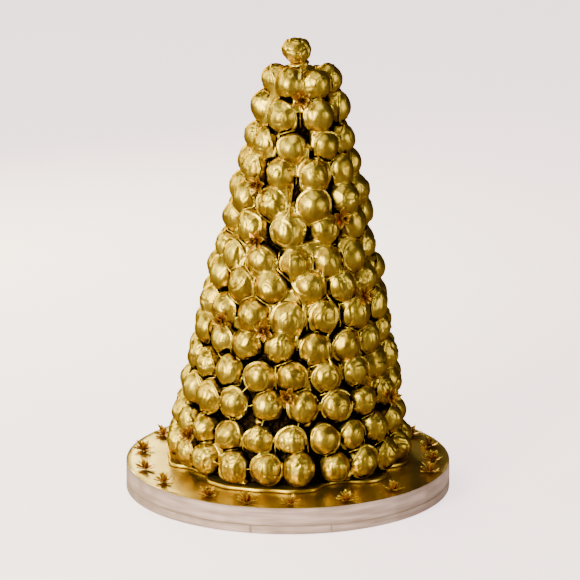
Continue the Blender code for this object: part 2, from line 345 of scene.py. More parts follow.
def glaze_share(height):
    """0 on the two lowest tiers, where little glaze holds the buns, to about 1 from the sixth up."""
    share = np.clip((height - FIRST_TIER) / (TOP_TIER - FIRST_TIER), 0, 1)
    return np.clip((share - 0.1) / 0.3, 0, 1)


def core_inset(points):
    """How far the core lies inside the centres of the buns, less where a film spans the gaps."""
    share = glaze_share(points[:, 2])
    flat, away = off_axis(points)
    on_cone = flat * (tier_radius(points[:, 2]) / np.maximum(away, 1 * MM))[:, None]
    spots = np.column_stack([on_cone, points[:, 2]])
    likely = FILM_LIKELY[0] + (FILM_LIKELY[1] - FILM_LIKELY[0]) * share
    film = np.clip((noise(spots / FILM_PATCH)[:, 1] + likely) / 0.2, 0, 1)
    crumbs = CRUMB_HEIGHT * np.abs(noise(spots / CRUMB_SIZE)[:, 0]) * (1 - film)
    inset = CORE_INSET_AT_FOOT + (CORE_INSET_ABOVE - CORE_INSET_AT_FOOT) * share
    return inset - FILM_RISE * film - crumbs


def core_distance(points):
    """Distance to the leaning core that the buns are set on, with its films."""
    side = depth_of(points) + core_inset(points)
    return np.maximum(side, points[:, 2] - TOP_TIER)


def run_distance(points, path):
    """Distance to the long runs of glaze, given as a row of balls."""
    gaps = points[:, None, :] - path[None, :, :3]
    return (np.sqrt((gaps * gaps).sum(2)) - path[None, :, 3]).min(1)


def blend_width(points):
    """How softly buns run together: thick glaze above, little at the foot."""
    usual = BLEND_AT_FOOT + (BLEND_ABOVE - BLEND_AT_FOOT) * glaze_share(points[:, 2])
    return usual * np.clip(1 + 0.8 * noise(points / (55 * MM))[:, 0], 0.45, 1.8)


def soft_least(distances, width):
    """The least of several distances, with the valleys between them filled."""
    least = np.minimum.reduce(distances)
    total = sum(np.exp((least - distance) / width) for distance in distances)
    return least - width * np.log(total)


def nearest_buns(points, count=4):
    """The indices of the buns nearest to each point, nearest first."""
    gaps = points[:, None, :] - buns.centre[None, :, :]
    away = np.sqrt((gaps * gaps).sum(2)) - buns.radius
    some = np.argpartition(away, count, axis=1)[:, :count]
    order = np.argsort(np.take_along_axis(away, some, 1), 1)
    return np.take_along_axis(some, order, 1)


def skin_distance(points, near, path, detailed=True):
    """Distance to the whole glazed surface."""
    swells = [bun_distance(points, near[:, k], detailed and k < 2) for k in range(near.shape[1])]
    swells.append(core_distance(points))
    body = soft_least(swells, blend_width(points))
    rims = np.minimum.reduce([collar_distance(points, near[:, k]) for k in range(3)])
    skin = soft_least([body, rims], RIM_BLEND)
    if len(path):
        skin = soft_least([skin, run_distance(points, path)], RUN_BLEND)
    return np.maximum(skin, FOOT_HEIGHT - points[:, 2])


def by_chunks(work, points, *rows):
    """work over slices of the points on all cores, with the results joined."""
    size = 20000
    spans = [slice(start, start + size) for start in range(0, len(points), size)]
    with ThreadPoolExecutor() as pool:
        done = pool.map(lambda span: work(points[span], *(row[span] for row in rows)), spans)
        return np.concatenate(list(done))


# ---------------------------------------------------------------- modelling helpers

def deselect():
    if bpy.context.object and bpy.context.object.mode != "OBJECT":
        bpy.ops.object.mode_set(mode="OBJECT")
    bpy.ops.object.select_all(action="DESELECT")


def select_only(*objects):
    deselect()
    for obj in objects:
        obj.select_set(True)
    bpy.context.view_layer.objects.active = objects[0]


def join(objects, name):
    select_only(*objects)
    bpy.ops.object.join()
    objects[0].name = name
    objects[0].data.name = name
    return objects[0]


def apply_modifier(obj, kind, **settings):
    """Adds a modifier with its settings and applies it."""
    select_only(obj)
    modifier = obj.modifiers.new(kind.lower(), kind)
    for key, value in settings.items():
        setattr(modifier, key, value)
    bpy.ops.object.modifier_apply(modifier=modifier.name)


def copy_of(obj, matrix=None):
    """A copy with its own mesh, its place in the mesh."""
    copy = obj.copy()
    copy.data = obj.data.copy()
    bpy.context.scene.collection.objects.link(copy)
    if matrix is not None:
        copy.data.transform(matrix)
    return copy


def remove(*objects):
    for obj in objects:
        bpy.data.objects.remove(obj, do_unlink=True)


def coordinates(mesh):
    values = np.empty(len(mesh.vertices) * 3, np.float32)
    mesh.vertices.foreach_get("co", values)
    return values.reshape(-1, 3)


def set_coordinates(mesh, points):
    mesh.vertices.foreach_set("co", np.ascontiguousarray(points, np.float32).ravel())
    mesh.update()


def add_point_values(mesh, name, values):
    attribute = mesh.attributes.new(name, "FLOAT", "POINT")
    attribute.data.foreach_set("value", np.asarray(values, np.float32))


def shade_smooth(obj, angle=None):
    select_only(obj)
    if angle is None:
        bpy.ops.object.shade_smooth()
    else:
        bpy.ops.object.shade_smooth_by_angle(angle=math.radians(angle))


def dress(piece, slot, material, *nodes):
    """Gives a piece its material and its body, and hides the solid's nodes that it stands for."""
    piece.data.materials.clear()
    piece.data.materials.append(material)
    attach(piece, BODY)
    if nodes:
        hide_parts(*nodes)


# ---------------------------------------------------------------- the glazed tower

def rough_balls(centres, radii, subdivisions):
    """A plain ball at each centre."""
    deselect()
    bpy.ops.mesh.primitive_ico_sphere_add(subdivisions=subdivisions, radius=1)
    ball = bpy.context.object
    made = []
    for centre, radius in zip(centres, radii):
        place = Matrix.Translation(Vector(centre)) @ Matrix.Scale(float(radius), 4)
        made.append(copy_of(ball, place))
    remove(ball)
    return made


def rough_collars():
    """A wandering ring round each bun that has a collar."""
    deselect()
    bpy.ops.mesh.primitive_torus_add(major_segments=56, minor_segments=8, major_radius=1, minor_radius=0.5)
    pattern = bpy.context.object
    torus = coordinates(pattern.data)
    angle = np.arctan2(torus[:, 1], torus[:, 0])
    across = (np.hypot(torus[:, 0], torus[:, 1]) - 1) / 0.5
    along = torus[:, 2] / 0.5
    made = []
    for number in np.flatnonzero(buns.collar > 0):
        index = np.full(len(torus), number)
        reach, height, thickness = collar_path(angle, index)
        reach = reach + thickness * across
        height = height + thickness * along
        local = np.column_stack([reach * np.cos(angle), reach * np.sin(angle), height])
        ring = copy_of(pattern)
        set_coordinates(ring.data, local @ buns.frame[number] + buns.centre[number])
        made.append(ring)
    remove(pattern)
    return made


def rough_core():
    """The leaning core under the buns: a fine sheet rolled up and closed, with its films."""
    deselect()
    bpy.ops.mesh.primitive_grid_add(x_subdivisions=320, y_subdivisions=230, size=2)
    core = bpy.context.object
    sheet = coordinates(core.data)
    angle = math.pi * sheet[:, 0]
    height = FOOT_HEIGHT + (TOP_TIER - FOOT_HEIGHT) * (sheet[:, 1] + 1) / 2
    shift = np.column_stack([math.tan(LEAN) * (height - DRUM_TOP), np.full(len(sheet), SET_BACK)])
    rays = np.column_stack([np.sin(angle), -np.cos(angle)])
    on_cone = np.column_stack([rays * tier_radius(height)[:, None] + shift, height])
    reach = tier_radius(height) - core_inset(on_cone) / math.cos(SLOPE)
    set_coordinates(core.data, np.column_stack([rays * reach[:, None] + shift, height]))
    select_only(core)
    bpy.ops.object.mode_set(mode="EDIT")
    bpy.ops.mesh.select_all(action="SELECT")
    bpy.ops.mesh.remove_doubles(threshold=1e-5)
    bpy.ops.object.mode_set(mode="OBJECT")
    close_ends(core)
    return core


def smooth_route(bends, step):
    """Points at even steps on a smooth curve through bends given as bearing and height."""
    bends = np.array(bends, float) + (0, DRUM_TOP / MM)
    dense = []
    padded = np.vstack([2 * bends[0] - bends[1], bends, 2 * bends[-1] - bends[-2]])
    for a, b, c, d in zip(padded, padded[1:], padded[2:], padded[3:]):
        for t in np.linspace(0, 1, 40, endpoint=False):
            curve = 2 * b + (c - a) * t + (2 * a - 5 * b + 4 * c - d) * t ** 2
            dense.append((curve + (3 * b - a - 3 * c + d) * t ** 3) / 2)
    dense = np.array(dense)
    reach = tier_radius(dense[:, 1] * MM) + RUN_PROUD
    spots = np.column_stack([np.radians(dense[:, 0]) * reach, dense[:, 1] * MM])
    gone = np.r_[0, np.cumsum(np.hypot(*np.diff(spots, axis=0).T))]
    even = np.arange(0, gone[-1], step)
    return np.column_stack([np.interp(even, gone, dense[:, k]) for k in range(2)])


def first_met(origins, rays, reaches, level):
    """How far along each ray, from outside, the glaze comes within a level of its surface."""
    found = np.full(len(origins), np.nan)
    for reach in reaches:
        spots = (origins + rays * np.reshape(reach, (-1, 1))).astype(np.float32)
        inside = skin_distance(spots, nearest_buns(spots), (), False) < level
        found = np.where(np.isnan(found) & inside, reach, found)
    return np.where(np.isnan(found), reaches[-1], found)


def surface_reach(bearings, heights):
    """Distance from the axis to the outermost glaze at each bearing and height."""
    flat = np.zeros(len(heights))
    origins = np.column_stack([math.tan(LEAN) * (heights - DRUM_TOP), flat + SET_BACK, heights])
    rays = np.column_stack([np.sin(bearings), -np.cos(bearings), flat])
    reaches = [tier_radius(heights) + step for step in np.arange(26, -8, -0.5) * MM]
    return first_met(origins, rays, reaches, 0)


def draped(reach, span):
    """The reach of a run that hangs across hollows instead of dipping into them."""
    padded = np.pad(reach, span, mode="edge")
    highest = np.max([padded[k:k + len(reach)] for k in range(2 * span + 1)], axis=0)
    weights = np.hanning(2 * span + 3)[1:-1]
    padded = np.pad(0.6 * highest + 0.4 * reach, span, mode="edge")
    return np.convolve(padded, weights / weights.sum(), mode="valid")


def seat_ring():
    """Centres and radii of a ring of balls where the top bun touches the crown."""
    low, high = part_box("top_profiterole")
    crown = Vector(buns.centre[-1])
    way = ((low + high) / 2 - crown).normalized()
    side = way.orthogonal().normalized()
    other = way.cross(side)
    ring = []
    for k in range(SEAT_BALLS):
        turn = math.tau * k / SEAT_BALLS
        spot = crown + way * buns.radius[-1] + (side * math.cos(turn) + other * math.sin(turn)) * SEAT_REACH
        ring.append((*spot, SEAT_THICKNESS * (1 + 0.2 * math.sin(3 * turn) + 0.1 * math.sin(7 * turn))))
    return ring


def glaze_path():
    """Centres and radii of a row of balls along every long run of glaze."""
    rows = [seat_ring()]
    for radius, bends in GLAZE_RUNS:
        route = smooth_route(bends, RUN_STEP)
        bearings = np.radians(route[:, 0])
        heights = route[:, 1] * MM
        reach = draped(surface_reach(bearings, heights), 7) - 0.2 * radius
        share = np.linspace(0, 1, len(route))
        swell = noise(np.column_stack([share * 9, share * 0, share * 0 + radius * 4000]))[:, 0]
        taper = np.clip(np.minimum(share, 1 - share) * 9, 0.25, 1)
        spots = np.column_stack([np.sin(bearings) * reach, -np.cos(bearings) * reach, heights])
        spots[:, 0] += math.tan(LEAN) * (heights - DRUM_TOP)
        spots[:, 1] += SET_BACK
        rows.append(np.column_stack([spots, radius * taper * (1 + 0.3 * swell)]))
    return np.vstack(rows).astype(np.float32)


def edges_of(mesh):
    pairs = np.empty(len(mesh.edges) * 2, np.int32)
    mesh.edges.foreach_get("vertices", pairs)
    return pairs.reshape(-1, 2)


def normals_of(mesh):
    values = np.empty(len(mesh.vertices) * 3, np.float32)
    mesh.vertex_normals.foreach_get("vector", values)
    return values.reshape(-1, 3)


def evened(points, edges, normals):
    """Points moved half way to the middle of their neighbours, along the surface only."""
    count = len(points)
    degree = np.bincount(edges.ravel(), minlength=count)
    middle = np.empty_like(points)
    for axis in range(3):
        ends = points[edges, axis]
        total = np.bincount(edges[:, 0], ends[:, 1], count) + np.bincount(edges[:, 1], ends[:, 0], count)
        middle[:, axis] = total / degree
    shift = (middle - points) * 0.5
    return points + shift - normals * (shift * normals).sum(1)[:, None]


def fit_to_glaze(mesh, path):
    """Moves a rough skin's vertices on to the glazed surface."""
    points = coordinates(mesh)
    near = by_chunks(nearest_buns, points)
    edges = edges_of(mesh)
    for detailed in (False, True, True, True):
        normals = normals_of(mesh)
        gap = by_chunks(lambda spots, rows: skin_distance(spots, rows, path, detailed), points, near)
        points = points - normals * np.clip(gap, -1.5 * MM, 1.5 * MM)[:, None] * 0.9
        if not detailed:
            points = evened(points, edges, normals)
        set_coordinates(mesh, points)
    return near


def openness(points, near, normals):
    """How free the space in front of each spot is, from 0 in a crevice to 1; it sets the painted shade in
    crevices.
    """
    free = np.zeros(len(points))
    for reach in OPEN_REACHES:
        gap = skin_distance(points + normals * reach, near, (), False)
        free += np.clip(gap / reach, 0, 1) / len(OPEN_REACHES)
    return free


def mark_glaze(mesh, near, path):
    """Stores each spot's gilding darkened by painted shade, its bun's tone and the raised rims, which carry
    a painted highlight.
    """
    points = coordinates(mesh)
    normals = normals_of(mesh)
    depth = by_chunks(depth_of, points)
    crown = points[:, 2] > TOP_TIER + 3 * MM
    # painted shade: spots deep inside the cone through the buns' centres, on the core and down the gaps,
    # lose their gilding and go near-black
    reached_and_lit = np.where(crown, 1, np.clip((depth + 3.5 * MM) / (4 * MM), 0, 1))
    # painted shade in crevices: gilding falls where little open space stands in front of a spot
    free = np.clip((by_chunks(openness, points, near, normals) - 0.32) / 0.43, 0, 1)
    # partly ungilded crust, partly painted shade under the buns: on the low tiers, faces that point down
    # turn copper and darker, in patches
    low = 1 - 0.7 * glaze_share(points[:, 2])
    patchy = 1 + 0.7 * by_chunks(lambda spots: noise(spots / (13 * MM))[:, 0], points)
    bare_and_shaded = 0.75 * low * patchy * np.clip((-normals[:, 2] - 0.15) / 0.7, 0, 1)
    gilt_and_shade = reached_and_lit * (0.12 + 0.88 * free) - bare_and_shaded
    add_point_values(mesh, "gilt_and_shade", np.clip(gilt_and_shade, 0, 1))
    add_point_values(mesh, "tone", buns.tone[near[:, 0]])

    # painted highlight: the value below is highest on the collars and runs of glaze, where the gold is paled
    def rims(spots, rows):
        gap = np.minimum.reduce([collar_distance(spots, rows[:, k]) for k in range(3)])
        return bell(np.minimum(gap, run_distance(spots, path)), 0.6 * MM)

    add_point_values(mesh, "rim", by_chunks(rims, points, near))


def cut_heights(mesh, pieces):
    """Heights that part a mesh into pieces of like size."""
    return np.quantile(coordinates(mesh)[:, 2], np.arange(1, pieces) / pieces)


def cut_level(obj, heights):
    """Cuts level edges into a mesh all the way round."""
    select_only(obj)
    bpy.ops.object.mode_set(mode="EDIT")
    for height in heights:
        bpy.ops.mesh.select_all(action="SELECT")
        bpy.ops.mesh.bisect(plane_co=(0, 0, float(height)), plane_no=(0, 0, 1), threshold=1e-7)
    bpy.ops.object.mode_set(mode="OBJECT")


def part_between(mesh, low, high, name):
    """A new object of the faces between two heights, with the vertices' values and normals."""
    starts = np.empty(len(mesh.polygons), np.int32)
    sizes = np.empty(len(mesh.polygons), np.int32)
    corners = np.empty(len(mesh.loops), np.int32)
    middles = np.empty(len(mesh.polygons) * 3, np.float32)
    mesh.polygons.foreach_get("loop_start", starts)
    mesh.polygons.foreach_get("loop_total", sizes)
    mesh.loops.foreach_get("vertex_index", corners)
    mesh.polygons.foreach_get("center", middles)
    height = middles[2::3]
    chosen = (height > low) & (height <= high)
    kept = corners[np.repeat(chosen, sizes)]
    used, renumbered = np.unique(kept, return_inverse=True)
    new = bpy.data.meshes.new(name)
    new.vertices.add(len(used))
    new.loops.add(len(kept))
    new.polygons.add(int(chosen.sum()))
    new.vertices.foreach_set("co", coordinates(mesh)[used].ravel())
    new.loops.foreach_set("vertex_index", renumbered.astype(np.int32))
    first = np.r_[0, np.cumsum(sizes[chosen])[:-1]].astype(np.int32)
    new.polygons.foreach_set("loop_start", first)
    new.update(calc_edges=True)
    for attribute in mesh.attributes:
        if attribute.domain == "POINT" and attribute.data_type == "FLOAT":
            values = np.empty(len(mesh.vertices), np.float32)
            attribute.data.foreach_get("value", values)
            add_point_values(new, attribute.name, values[used])
    piece = bpy.data.objects.new(name, new)
    bpy.context.scene.collection.objects.link(piece)
    return piece, normals_of(mesh)[used]


def close_and_smooth(piece, normals):
    """Caps the level cuts, and keeps the whole skin's normals so that no seam shows."""
    shell = bmesh.new()
    shell.from_mesh(piece.data)
    rims = [edge for edge in shell.edges if edge.is_boundary]
    bmesh.ops.holes_fill(shell, edges=rims, sides=0)
    shell.to_mesh(piece.data)
    shell.free()
    shade_smooth(piece)
    piece.data.normals_split_custom_set_from_vertices(normals)


def make_glazed_tower(material):
    path = glaze_path()
    rough = rough_balls(buns.centre, buns.radius, 4)
    rough += rough_collars()
    rough += rough_balls(path[:, :3], path[:, 3], 1)
    rough.append(rough_core())
    skin = join(rough, "glaze_skin")
    apply_modifier(skin, "REMESH", mode="VOXEL", voxel_size=SKIN_CELL)
    near = fit_to_glaze(skin.data, path)
    mark_glaze(skin.data, near, path)
    heights = cut_heights(skin.data, SKIN_PIECES)
    cut_level(skin, heights)
    bounds = [-1.0, *heights, 1.0]
    for number, (low, high) in enumerate(zip(bounds, bounds[1:]), 1):
        piece, normals = part_between(skin.data, low, high, f"glazed_buns_{number}")
        close_and_smooth(piece, normals)
        dress(piece, "gilt_glaze", material, "profiterole_tower")
    remove(skin)


# ---------------------------------------------------------------- threads between buns

def unit(vector):
    return vector / np.linalg.norm(vector)


def thread_routes():
    """Start, middle and end of each thread, and the way outwards there."""
    draw = np.random.RandomState(LOOKS_SEED + 1)
    low = np.flatnonzero(buns.centre[:, 2] < THREAD_TOP)
    routes = []
    for a in low:
        for b in low[low > a]:
            span = buns.centre[b] - buns.centre[a]
            furthest = THREAD_REACH * (buns.radius[a] + buns.radius[b])
            if np.linalg.norm(span) > furthest or draw.uniform() > THREAD_SHARE:
                continue
            outward = unit(buns.frame[a, 2] + buns.frame[b, 2])
            lift = outward * draw.uniform(0.2, 0.75)
            ends = []
            for number, way in ((a, 1), (b, -1)):
                facing = unit(way * unit(span) + lift + draw.normal(0, 0.12, 3))
                ends.append(buns.centre[number] + facing * buns.radius[number] * 0.95)
            sag = outward * 0.8 * MM + np.array((0, 0, 0.6 * MM))
            routes.append((ends[0], (ends[0] + ends[1]) / 2 - sag, ends[1], outward))
    return routes


def make_threads(material):
    """Short necks of glaze, thick where they leave a bun and thin between."""
    pattern = stacked_rings("glaze_threads", THREAD_SIDES, THREAD_RINGS)
    close_ends(pattern)
    unit_points = coordinates(pattern.data)
    share = unit_points[:, 2] / (THREAD_RINGS - 1)
    thick, thin = THREAD_RADII
    radius = thin + (thick - thin) * np.abs(2 * share - 1) ** 1.6
    threads = []
    for start, middle, end, outward in thread_routes():
        t = share[:, None]
        along = unit(end - start)
        side = unit(np.cross(outward, along))
        lifted = np.cross(along, side)
        spots = (1 - t) ** 2 * start + 2 * t * (1 - t) * (2 * middle - (start + end) / 2) + t ** 2 * end
        spots = spots + (unit_points[:, :1] * side + unit_points[:, 1:2] * lifted) * radius[:, None]
        thread = copy_of(pattern)
        set_coordinates(thread.data, spots)
        threads.append(thread)
    remove(pattern)
    gild_bright_with_highlight(join(threads, "glaze_threads"), material)


def gild_bright_with_highlight(glaze, material):
    """Gives thin raised glaze its even gilding, free of painted shade and paled a little by a painted
    highlight.
    """
    count = len(glaze.data.vertices)
    for name, value in (("gilt_and_shade", 0.9), ("tone", 0.7), ("rim", 0.3)):
        add_point_values(glaze.data, name, np.full(count, value))
    shade_smooth(glaze)
    dress(glaze, "gilt_glaze", material, "profiterole_tower")


# ---------------------------------------------------------------- webs between buns

def web_pairs():
    """Neighbouring buns that a web of glaze joins."""
    draw = np.random.RandomState(LOOKS_SEED + 2)
    low, high = WEB_SHARE
    pairs = []
    for a, centre in enumerate(buns.centre[:-1]):
        span = np.linalg.norm(buns.centre - centre, axis=1)
        near = np.flatnonzero(span < WEB_REACH * (buns.radius + buns.radius[a]))
        likely = low + (high - low) * glaze_share(centre[2])
        pairs += [(a, b) for b in near if b > a and draw.uniform() < likely]
    return np.array(pairs)


def web_edges(pairs, draw):
    """Middle of each valley, way across it, and the rays and reaches of the web's edge there."""
    first, second = pairs.T
    span = buns.centre[second] - buns.centre[first]
    length = np.linalg.norm(span, axis=1, keepdims=True)
    across = span / length
    uneven = (buns.radius[first] ** 2 - buns.radius[second] ** 2)[:, None]
    middle = buns.centre[first] + across * (length + uneven / length) / 2
    outward = buns.frame[first, 2] + buns.frame[second, 2]
    outward -= across * (outward * across).sum(1, keepdims=True)
    outward /= np.linalg.norm(outward, axis=1, keepdims=True)
    along = np.cross(across, outward)
    angles = np.linspace(-WEB_ARC, WEB_ARC, WEB_RINGS)[None, :, None]
    rays = outward[:, None] * np.cos(angles) + along[:, None] * np.sin(angles)
    origins = np.repeat(middle, WEB_RINGS, axis=0)
    level = draw.uniform(*WEB_RISE, (len(pairs), 1)) + np.zeros((1, WEB_RINGS))
    flat = rays.reshape(-1, 3)
    reach = first_met(origins, flat, np.arange(19, 0.5, -0.4) * MM, level.ravel())
    edge = (origins + flat * reach[:, None]).astype(np.float32)
    nearest = np.sort(nearest_buns(edge)[:, :2], axis=1)
    strays = (nearest != np.repeat(np.sort(pairs, axis=1), WEB_RINGS, axis=0)).any(1)
    reach = (reach - 4 * MM * strays).reshape(len(pairs), WEB_RINGS)
    for _ in range(2):
        ends = np.pad(reach, ((0, 0), (1, 1)), mode="edge")
        reach = (ends[:, :-2] + 2 * reach + ends[:, 2:]) / 4
    return middle, across, rays, reach


def make_webs(material):
    """Thin walls of glaze left standing where buns meet, with a rounded edge."""
    draw = np.random.RandomState(LOOKS_SEED + 3)
    pairs = web_pairs()
    middle, across, rays, reach = web_edges(pairs, draw)
    pattern = stacked_rings("glaze_webs", WEB_SIDES, WEB_RINGS)
    close_ends(pattern)
    section = coordinates(pattern.data)
    ring = np.round(section[:, 2]).astype(int)
    bead = draw.uniform(*WEB_BEAD, (len(pairs), WEB_RINGS))
    webs = []
    for number in range(len(pairs)):
        half = bead[number].mean() * (0.8 + 0.2 * bead[number][ring] / bead[number].mean())
        inward = np.where(section[:, 0] > 0, section[:, 0] * half, section[:, 0] * WEB_DEPTH)
        thick = section[:, 1] * half * np.where(section[:, 0] > -0.1, 1, 0.7)
        spots = middle[number] + rays[number][ring] * (reach[number][ring] + inward - half)[:, None]
        web = copy_of(pattern)
        set_coordinates(web.data, spots - across[number] * thick[:, None])
        webs.append(web)
    remove(pattern)
    gild_bright_with_highlight(join(webs, "glaze_webs"), material)


# ---------------------------------------------------------------- the bun on top

TOP_BUN_RADIUS = 16.6 * MM
TOP_BUN_SQUASH = 0.88


def make_top_bun(material):
    """The knobbly bun that stands alone on the crown, its crust folded like a bud."""
    deselect()
    bpy.ops.mesh.primitive_ico_sphere_add(subdivisions=6, radius=TOP_BUN_RADIUS)
    bun = bpy.context.object
    bun.name = "top_bun"
    for vertex in bun.data.vertices:
        vertex.co *= 1 + 0.09 * crust(vertex.co / (14 * MM))
        vertex.co.z *= TOP_BUN_SQUASH
    points = coordinates(bun.data)
    facing = points / np.linalg.norm(points, axis=1, keepdims=True)
    wide = noise(facing * 1.15 + 5.3)
    fine = noise((facing + 0.35 * wide[:, 1:]) * 1.7 + 8)
    relief = -1.3 * bell(wide[:, 0], 0.13) - 0.45 * bell(fine[:, 0], 0.10) + 0.9 * fine[:, 1]
    points += facing * (relief - 0.5)[:, None] * MM
    low, high = (np.array(corner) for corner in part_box("top_profiterole"))
    share = (points - points.min(0)) / (points.max(0) - points.min(0))
    set_coordinates(bun.data, low + share * (high - low))
    # painted shade: less gilding, so darker, in the wide creases of the crust
    add_point_values(bun.data, "gilt_and_shade", np.clip(1 - 0.5 * bell(wide[:, 0], 0.09) + 0.2 * fine[:, 2], 0, 1))
    add_point_values(bun.data, "tone", np.full(len(points), 1.0))
    # painted highlight along the fine folds
    add_point_values(bun.data, "rim", bell(fine[:, 0] - 0.25, 0.1))
    shade_smooth(bun)
    dress(bun, "gilt_glaze", material, "top_profiterole")


# ---------------------------------------------------------------- the pool of glaze

POOL_SIDES = 480
POOL_PROFILE = (                   # how far outside the edge, and share of the height
    (-0.6 * MM, 0.0), (-0.1 * MM, 0.08), (0.1 * MM, 0.35), (-0.1 * MM, 0.68), (-0.7 * MM, 0.92),
    (-1.6 * MM, 1.0), (-2.7 * MM, 0.93), (-4.2 * MM, 0.78), (-7.0 * MM, 0.70), (-12.0 * MM, 0.72),
    (-19.0 * MM, 0.80),
)


def pool_edge(bearing):
    """Radius of the glaze pool's edge at a bearing in radians."""
    reach = 0.0
    for middle, half_width in POOL_FLOWS:
        away = math.degrees(bearing) - middle
        away = abs((away + 180) % 360 - 180)
        reach = max(reach, 1 / (1 + math.exp((away - half_width) / 2.0)))
    ripple = 1.2 * MM * math.sin(9 * bearing) + 0.8 * MM * math.sin(23 * bearing + 1)
    return POOL_RADIUS + POOL_REACH * reach + ripple


def stacked_rings(name, sides, count):
    """An open tube of unit radius, ring k of its vertices at height k."""
    deselect()
    bpy.ops.mesh.primitive_circle_add(vertices=sides, radius=1, fill_type="NOTHING")
    tube = bpy.context.object
    tube.name = name
    tube.data.name = name
    bpy.ops.object.mode_set(mode="EDIT")
    bpy.ops.mesh.select_mode(type="VERT")
    bpy.ops.mesh.select_all(action="SELECT")
    for _ in range(count - 1):
        bpy.ops.mesh.extrude_region_move(TRANSFORM_OT_translate={"value": (0, 0, 1)})
    bpy.ops.object.mode_set(mode="OBJECT")
    return tube


def close_ends(obj):
    """Fills both open ends and points every face outwards."""
    select_only(obj)
    bpy.ops.object.mode_set(mode="EDIT")
    bpy.ops.mesh.select_mode(type="VERT")
    bpy.ops.mesh.select_all(action="DESELECT")
    bpy.ops.mesh.select_non_manifold(extend=False)
    bpy.ops.mesh.fill_holes(sides=0)
    bpy.ops.mesh.select_all(action="SELECT")
    bpy.ops.mesh.normals_make_consistent(inside=False)
    bpy.ops.object.mode_set(mode="OBJECT")


def make_pool(material):
    """Glaze that ran off the tower and set in lobes, thick at its lip."""
    pool = stacked_rings("pooled_glaze", POOL_SIDES, len(POOL_PROFILE))
    for vertex in pool.data.vertices:
        bearing = math.atan2(vertex.co.x, -vertex.co.y)
        inset, share = POOL_PROFILE[round(vertex.co.z)]
        flow = 0.25 * math.sin(31 * bearing + 2 * inset / MM) * min(1, -inset / (6 * MM)) if inset < 0 else 0
        spot = direction(bearing) * (pool_edge(bearing) + inset)
        level = min(share * (1 + 0.12 * flow), 1.0)
        vertex.co = (spot.x, spot.y + SET_BACK, POOL_LOW + POOL_HEIGHT * level)
    close_ends(pool)
    add_point_values(pool.data, "gilt_and_shade", np.full(len(pool.data.vertices), 0.95))
    add_point_values(pool.data, "tone", np.full(len(pool.data.vertices), 0.5))
    add_point_values(pool.data, "rim", np.zeros(len(pool.data.vertices)))
    shade_smooth(pool, 50)
    dress(pool, "gilt_glaze", material, "glaze_pool")


# ---------------------------------------------------------------- the drum and its ribbons

DRUM_SIDES = 240
DRUM_RINGS = 34
DRUM_RING_WIDTH = 4.5 * MM
DRUM_BOTTOM = 0.2 * MM             # just inside the paper under it
DRUM_UNDER_RIM = 8.0 * MM
FOIL_WAVE = 26.0 * MM              # size of the foil's waves, and of its creases
FOIL_CREASE = 9.0 * MM
PAPER_RADIUS = 166.0 * MM
PAPER_THICKNESS = 0.3 * MM
PAPER_INSETS = (0.6 * MM, 30.0 * MM)
RIBBON_SIDES = 720
RIBBON_RINGS = 7
RIBBON_THICKNESS = 0.22 * MM
RIBBON_LAP = 0.22 * MM             # how far a length stands off where it laps over the next
RIBBON_EASE = 0.2 * MM             # how far each edge spreads, so that the two bands all but meet


def select_faces(obj, wanted):
    """Selects, in edit mode, just the faces whose centre and normal wanted() accepts."""
    bpy.ops.mesh.select_mode(type="FACE")
    shell = bmesh.from_edit_mesh(obj.data)
    for face in shell.faces:
        face.select_set(wanted(face.calc_center_median(), face.normal))
    shell.select_flush_mode()
    bmesh.update_edit_mesh(obj.data)


def make_foil_drum(material):
    """The board, wrapped in foil that lies not quite flat."""
    deselect()
    bpy.ops.mesh.primitive_cylinder_add(vertices=DRUM_SIDES, radius=DRUM_RADIUS,
                                        depth=DRUM_TOP - DRUM_BOTTOM,
                                        location=(0, 0, (DRUM_TOP + DRUM_BOTTOM) / 2))
    drum = bpy.context.object
    drum.name = "foil_drum"
    bpy.ops.object.transform_apply(location=True, rotation=False, scale=False)
    bpy.ops.object.mode_set(mode="EDIT")
    select_faces(drum, lambda centre, normal: abs(normal.z) > 0.9)
    bpy.ops.mesh.region_to_loop()
    bpy.ops.mesh.bevel(offset=DRUM_ROUNDING, segments=4, profile=0.5)
    select_faces(drum, lambda centre, normal: normal.z > 0.99)
    for _ in range(DRUM_RINGS):
        bpy.ops.mesh.inset(thickness=DRUM_RING_WIDTH)
    bpy.ops.mesh.poke()
    select_faces(drum, lambda centre, normal: normal.z < -0.99)
    bpy.ops.mesh.inset(thickness=DRUM_UNDER_RIM)
    bpy.ops.mesh.poke()
    bpy.ops.object.mode_set(mode="OBJECT")
    points = coordinates(drum.data)
    ripple = noise(points / FOIL_WAVE)[:, 0] * 0.16 + noise(points / FOIL_CREASE + 5)[:, 0] * 0.05 - 0.2
    on_top = points[:, 2] > DRUM_TOP - 0.05 * MM
    points[:, 2] += np.where(on_top, ripple * MM, 0)
    set_coordinates(drum.data, points)
    shade_smooth(drum, 40)
    dress(drum, "gold_foil", material, "drum")


def make_base_paper(material):
    """The paper disc glued under the board."""
    deselect()
    bpy.ops.mesh.primitive_cylinder_add(vertices=DRUM_SIDES, radius=PAPER_RADIUS, depth=PAPER_THICKNESS,
                                        location=(0, 0, PAPER_THICKNESS / 2))
    paper = bpy.context.object
    paper.name = "base_paper"
    bpy.ops.object.transform_apply(location=True, rotation=False, scale=False)
    bpy.ops.object.mode_set(mode="EDIT")
    select_faces(paper, lambda centre, normal: normal.z < -0.9)
    for width in PAPER_INSETS:
        bpy.ops.mesh.inset(thickness=width)
    bpy.ops.mesh.poke()
    bpy.ops.object.mode_set(mode="OBJECT")
    shade_smooth(paper, 30)
    dress(paper, "white_satin", material)


